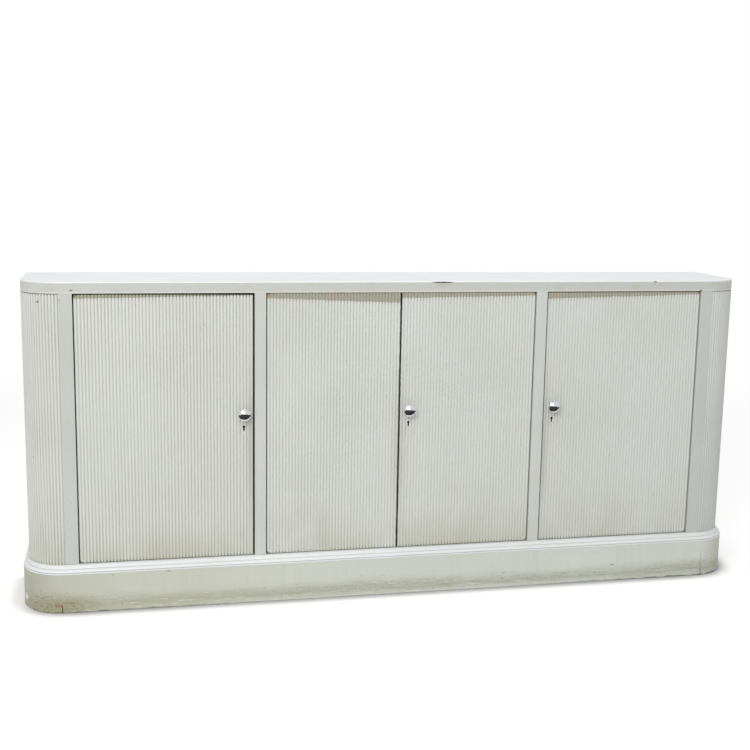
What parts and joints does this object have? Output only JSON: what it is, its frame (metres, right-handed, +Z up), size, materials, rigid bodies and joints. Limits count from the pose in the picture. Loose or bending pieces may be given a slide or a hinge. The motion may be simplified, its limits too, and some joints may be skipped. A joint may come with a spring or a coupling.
{
  "type": "sideboard cabinet",
  "caption": "Long low painted cabinet with reeded hinged leaves, rounded reeded corners, locks, knobs, shelves and a moulded plinth, for storage.",
  "frame": {"origin": "on the floor, under the middle of the whole box, knobs included", "axes": "+X along the front to the right, +Y from the front to the back, +Z up"},
  "size_m": [2.1462, 0.344, 0.92],
  "materials": {
    "painted_case": "aged satin paint",
    "painted_top": "aged satin paint",
    "painted_plinth": "worn satin paint",
    "reeds": "aged satin paint",
    "bare_wood": "bare, aged",
    "chrome": "polished",
    "hinge_metal": "tarnished",
    "lock_metal": "dulled"
  },
  "bodies": {
    "case": {"back_panel": "bare_wood", "back_panel_screws": "lock_metal", "bottom_board": "painted_case", "corner_core_left": "painted_case", "corner_core_right": "painted_case", "divider_left": "bare_wood", "divider_right": "bare_wood", "door_stops": "bare_wood", "end_panel_left": "painted_case", "end_panel_right": "painted_case", "end_slats_left": "reeds", "end_slats_right": "reeds", "leaf_bolt_keeps": "lock_metal", "moulding_front": "painted_plinth", "moulding_left": "painted_plinth", "moulding_right": "painted_plinth", "pivot_plates": "hinge_metal", "pivot_washers": "hinge_metal", "plinth_back": "bare_wood", "plinth_bearers": "bare_wood", "plinth_corner_left": "painted_plinth", "plinth_corner_right": "painted_plinth", "plinth_end_left": "painted_plinth", "plinth_end_right": "painted_plinth", "plinth_front": "painted_plinth", "shelf_battens": "bare_wood", "shelf_centre": "bare_wood", "shelf_left": "bare_wood", "shelf_right": "bare_wood", "stile_inner_left": "painted_case", "stile_inner_right": "painted_case", "stile_outer_left": "painted_case", "stile_outer_right": "painted_case", "strike_plates": "lock_metal", "top_board": "painted_top"},
    "left_door": {"left_door_panel": "painted_case", "left_door_slats": "reeds", "left_door_pivots": "hinge_metal", "left_door_knob": "chrome", "left_door_lock": "lock_metal"},
    "left_door_bolt": {"left_door_lock_bolt": "lock_metal"},
    "centre_left_door": {"centre_left_door_panel": "painted_case", "centre_left_door_slats": "reeds", "centre_left_door_pivots": "hinge_metal", "leaf_bolt_guides": "lock_metal", "leaf_strike_plate": "lock_metal"},
    "centre_right_door": {"centre_right_door_panel": "painted_case", "centre_right_door_slats": "reeds", "centre_right_door_pivots": "hinge_metal", "centre_right_door_knob": "chrome", "centre_right_door_lock": "lock_metal"},
    "centre_right_door_bolt": {"centre_right_door_lock_bolt": "lock_metal"},
    "right_door": {"right_door_panel": "painted_case", "right_door_slats": "reeds", "right_door_pivots": "hinge_metal", "right_door_knob": "chrome", "right_door_lock": "lock_metal"},
    "right_door_bolt": {"right_door_lock_bolt": "lock_metal"},
    "upper_leaf_bolt": {"leaf_bolt_top": "lock_metal"},
    "lower_leaf_bolt": {"leaf_bolt_bottom": "lock_metal"}
  },
  "joints": [
    {"name": "left_door_swing", "type": "hinge", "parent": "case", "child": "left_door", "pos_m": [-0.8981, -0.133, 0.5], "axis": [0, 0, -1], "range_deg": [0, 95]},
    {"name": "centre_left_door_swing", "type": "hinge", "parent": "case", "child": "centre_left_door", "pos_m": [-0.3768, -0.133, 0.5], "axis": [0, 0, -1], "range_deg": [0, 95]},
    {"name": "centre_right_door_swing", "type": "hinge", "parent": "case", "child": "centre_right_door", "pos_m": [0.3768, -0.133, 0.5], "axis": [0, 0, 1], "range_deg": [0, 95]},
    {"name": "right_door_swing", "type": "hinge", "parent": "case", "child": "right_door", "pos_m": [0.8981, -0.133, 0.5], "axis": [0, 0, 1], "range_deg": [0, 95]},
    {"name": "left_door_lock_slide", "type": "slide", "parent": "left_door", "child": "left_door_bolt", "axis": [1, 0, 0], "range_m": [0, 0.008]},
    {"name": "centre_right_door_lock_slide", "type": "slide", "parent": "centre_right_door", "child": "centre_right_door_bolt", "axis": [-1, 0, 0], "range_m": [0, 0.008]},
    {"name": "right_door_lock_slide", "type": "slide", "parent": "right_door", "child": "right_door_bolt", "axis": [-1, 0, 0], "range_m": [0, 0.008]},
    {"name": "upper_leaf_bolt_slide", "type": "slide", "parent": "centre_left_door", "child": "upper_leaf_bolt", "axis": [0, 0, 1], "range_m": [0, 0.014]},
    {"name": "lower_leaf_bolt_slide", "type": "slide", "parent": "centre_left_door", "child": "lower_leaf_bolt", "axis": [0, 0, -1], "range_m": [0, 0.014]}
  ]
}
